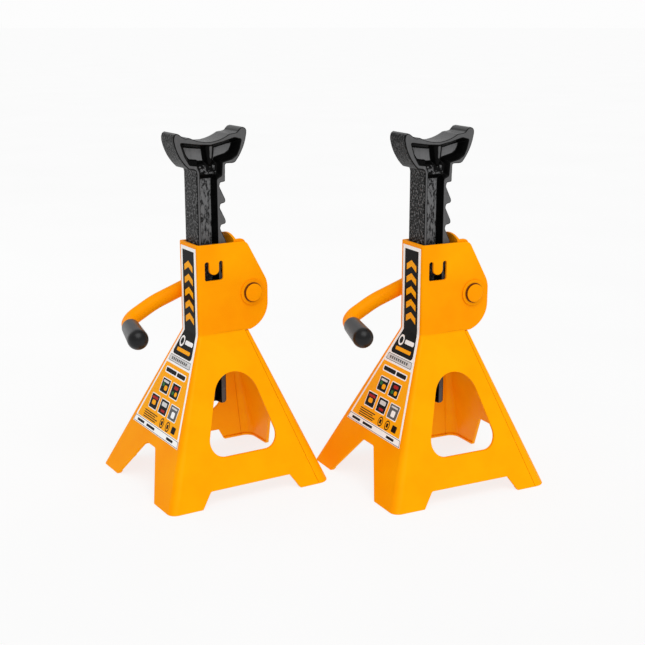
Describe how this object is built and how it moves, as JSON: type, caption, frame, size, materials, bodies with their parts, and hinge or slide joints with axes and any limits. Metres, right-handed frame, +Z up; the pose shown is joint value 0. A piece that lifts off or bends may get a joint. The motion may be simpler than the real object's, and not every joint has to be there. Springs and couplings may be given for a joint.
{
  "type": "axle stand pair",
  "caption": "Two ratchet axle stands: flared four-foot sheet bases, toothed lifting bars with cradle saddles, and bent release handles with rubber grips.",
  "frame": {"origin": "centre of the bounding box of the pair, on the floor", "axes": "+Z up; for stand A, +X from its label wall to its pawl side and Y along its pivot rod"},
  "size_m": [0.3766, 0.2896, 0.35],
  "materials": {
    "orange_paint": "gloss orange-yellow enamel",
    "black_casting": "gloss black enamel on a rough casting",
    "grip_rubber": "satin black",
    "zinc_steel": "zinc plated",
    "label_vinyl": "printed vinyl"
  },
  "bodies": {
    "frame_a": {"frame_shell_a": "orange_paint", "rear_panel_a": "orange_paint", "bar_guide_a": "orange_paint", "front_label_a": "label_vinyl", "near_washer_a": "orange_paint", "far_washer_a": "zinc_steel"},
    "bar_a": {"ratchet_bar_a": "black_casting"},
    "handle_a": {"handle_rod_a": "orange_paint", "handle_grip_a": "grip_rubber", "pawl_a": "black_casting", "pawl_spring_pin_a": "zinc_steel"},
    "frame_b": {"frame_shell_b": "orange_paint", "rear_panel_b": "orange_paint", "bar_guide_b": "orange_paint", "front_label_b": "label_vinyl", "near_washer_b": "orange_paint", "far_washer_b": "zinc_steel"},
    "bar_b": {"ratchet_bar_b": "black_casting"},
    "handle_b": {"handle_rod_b": "orange_paint", "handle_grip_b": "grip_rubber", "pawl_b": "black_casting", "pawl_spring_pin_b": "zinc_steel"}
  },
  "joints": [
    {"name": "bar_a_lift", "type": "slide", "parent": "frame_a", "child": "bar_a", "axis": [0, 0, 1], "range_m": [-0.06135, 0.0818]},
    {"name": "handle_a_turn", "type": "hinge", "parent": "frame_a", "child": "handle_a", "pos_m": [-0.05679, 0.05964, 0.1886], "axis": [0, 1, 0], "range_deg": [-10.5, 20]},
    {"name": "bar_b_lift", "type": "slide", "parent": "frame_b", "child": "bar_b", "axis": [0, 0, 1], "range_m": [-0.06135, 0.0818]},
    {"name": "handle_b_turn", "type": "hinge", "parent": "frame_b", "child": "handle_b", "pos_m": [0.12942, -0.05665, 0.1886], "axis": [0.0844, 0.9964, 0], "range_deg": [-10.5, 20]},
    {"name": "stand_b_apart", "type": "slide", "parent": "frame_a", "child": "frame_b", "axis": [0.8586, -0.5127, 0], "range_m": [0, 0.6]}
  ]
}
